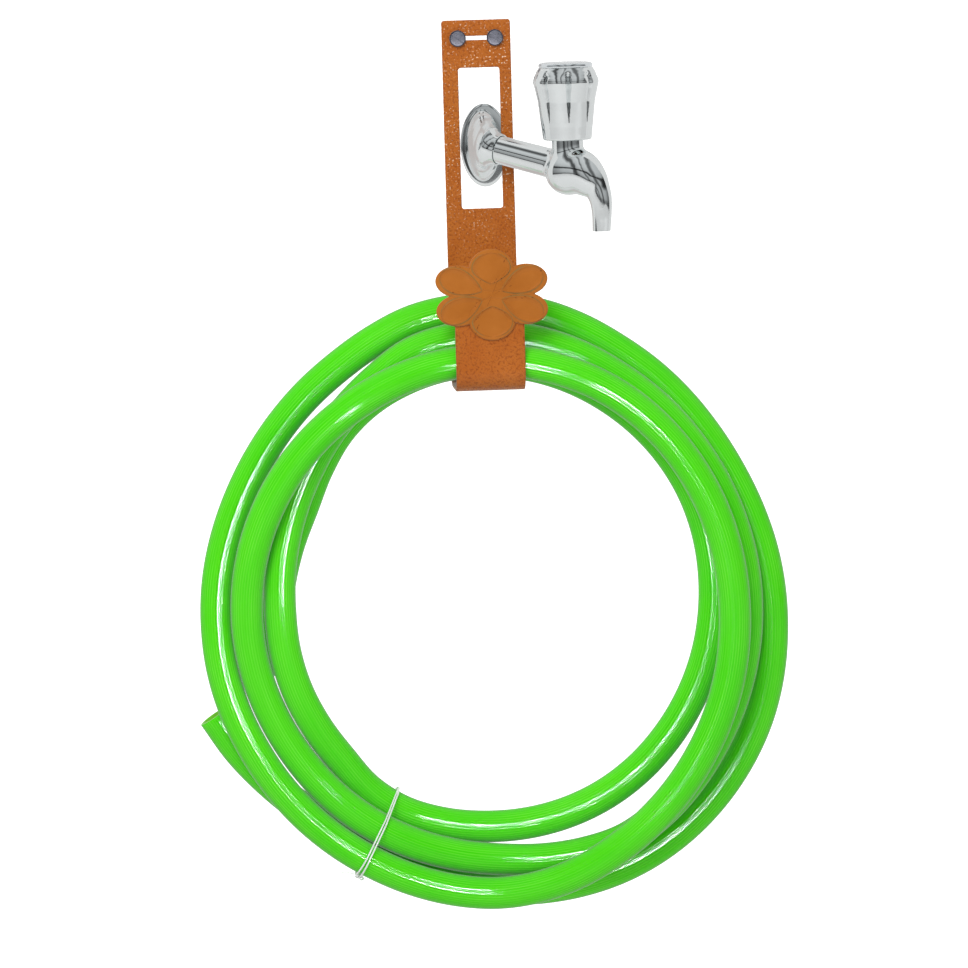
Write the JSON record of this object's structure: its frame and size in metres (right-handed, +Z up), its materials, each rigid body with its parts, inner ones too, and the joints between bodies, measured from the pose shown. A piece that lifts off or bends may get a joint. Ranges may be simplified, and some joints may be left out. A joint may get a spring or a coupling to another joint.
{
  "type": "wall hose hanger with coiled hose and bib tap",
  "caption": "Painted steel strap hanger with a flower-fronted hook holding a tied coil of ribbed garden hose, behind which a chromed bib tap stands.",
  "frame": {"origin": "on the back face of the strap, on its centre line, in the plain web between the screw slot and the tap window; the wall itself is 2.4 mm further back", "axes": "+Z up, +Y into the wall along the strap back face normal, -Y towards the viewer, +X to the right seen from the front"},
  "size_m": [0.4046, 0.1064, 0.6077],
  "materials": {
    "brown_paint": "hammered gloss",
    "flower_paint": "satin",
    "zinc_steel": "zinc plated",
    "nylon": "moulded",
    "green_vinyl": "ribbed gloss",
    "cord": "twisted",
    "chrome": "polished",
    "brass": "turned",
    "fibre": "pressed fibre",
    "rubber": "moulded",
    "spring_steel": "bright"
  },
  "bodies": {
    "hanger": {"hanger_strap": "brown_paint", "flower_plate": "flower_paint", "screw_left": "zinc_steel", "screw_right": "zinc_steel", "wall_plug_left": "nylon", "wall_plug_right": "nylon", "tap_body": "chrome", "tap_flange": "chrome", "bonnet": "brass", "bonnet_gasket": "fibre"},
    "knob_and_spindle": {"knob": "chrome", "knob_cap": "chrome", "knob_screw": "spring_steel", "spindle": "brass", "spindle_oring_lower": "rubber", "spindle_oring_upper": "rubber", "spindle_circlip": "spring_steel"},
    "valve": {"valve_carrier": "brass", "seat_washer": "rubber", "washer_nut": "brass"},
    "hose_coil": {"hose": "green_vinyl", "hose_tie": "cord"}
  },
  "joints": [
    {"name": "knob_turn", "type": "hinge", "parent": "hanger", "child": "knob_and_spindle", "pos_m": [0.05656, -0.04926, -0.07409], "axis": [0, 0, 1], "range_deg": [0, 900]},
    {"name": "valve_lift", "type": "slide", "parent": "hanger", "child": "valve", "axis": [0, 0, 1], "range_m": [0, 0.00501]},
    {"name": "hose_lift", "type": "slide", "parent": "hanger", "child": "hose_coil", "axis": [0, 0, 1], "range_m": [0, 0.078]}
  ],
  "couplings": [
    {"joint": "valve_lift", "follows": "knob_turn", "m_per_rad": 0.00031831}
  ]
}
